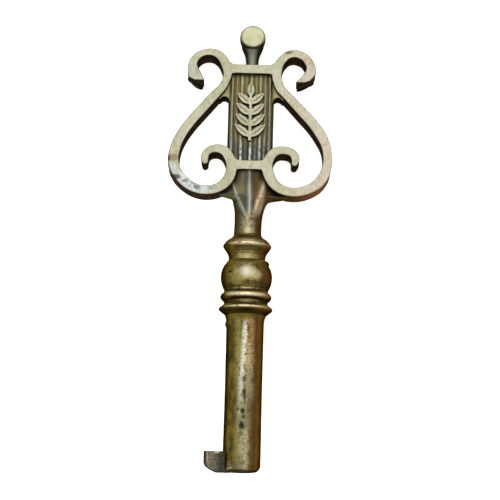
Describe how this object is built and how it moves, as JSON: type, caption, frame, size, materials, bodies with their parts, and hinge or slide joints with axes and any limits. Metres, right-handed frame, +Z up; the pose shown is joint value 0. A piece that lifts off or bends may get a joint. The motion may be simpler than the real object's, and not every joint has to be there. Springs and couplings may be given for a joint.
{
  "type": "lyre-bow barrel key",
  "caption": "Small brass barrel key with an openwork lyre bow, reeded string panel with a leaf sprig, knobbed finial, turned collars, a bored round barrel and a plain square bit.",
  "frame": {"origin": "middle of the key's footprint on the surface it lies on", "axes": "+Y along the key from the barrel's tip towards the bow's finial, +Z up out of the bow's front face, +X across the bow, away from the bit"},
  "size_m": [0.028, 0.077, 0.0093],
  "materials": {
    "polished_brass": "pale brass, hand-polished on the front faces, dark in the corners",
    "reed_brass": "dull olive-brown patina, brighter along the crests of the reeds",
    "patinated_brass": "satin golden-brown patina with worn bright rims",
    "barrel_brass": "satin, pitted and worn pale along the front",
    "bit_steel": "grey-brown filed steel",
    "core_steel": "plain drawn rod, hidden"
  },
  "bodies": {
    "root": {"left_lyre_arm": "polished_brass", "right_lyre_arm": "polished_brass", "yoke_bar": "polished_brass", "tail_bar": "polished_brass", "leaf_sprig": "polished_brass", "string_column": "reed_brass", "finial_peg": "patinated_brass", "neck": "patinated_brass", "upper_collar": "patinated_brass", "cove_sleeve": "patinated_brass", "baluster_bulb": "patinated_brass", "middle_collar": "patinated_brass", "collar_spacer": "patinated_brass", "lower_collar": "patinated_brass", "barrel": "barrel_brass", "bit": "bit_steel", "stem_core": "core_steel"}
  },
  "joints": []
}
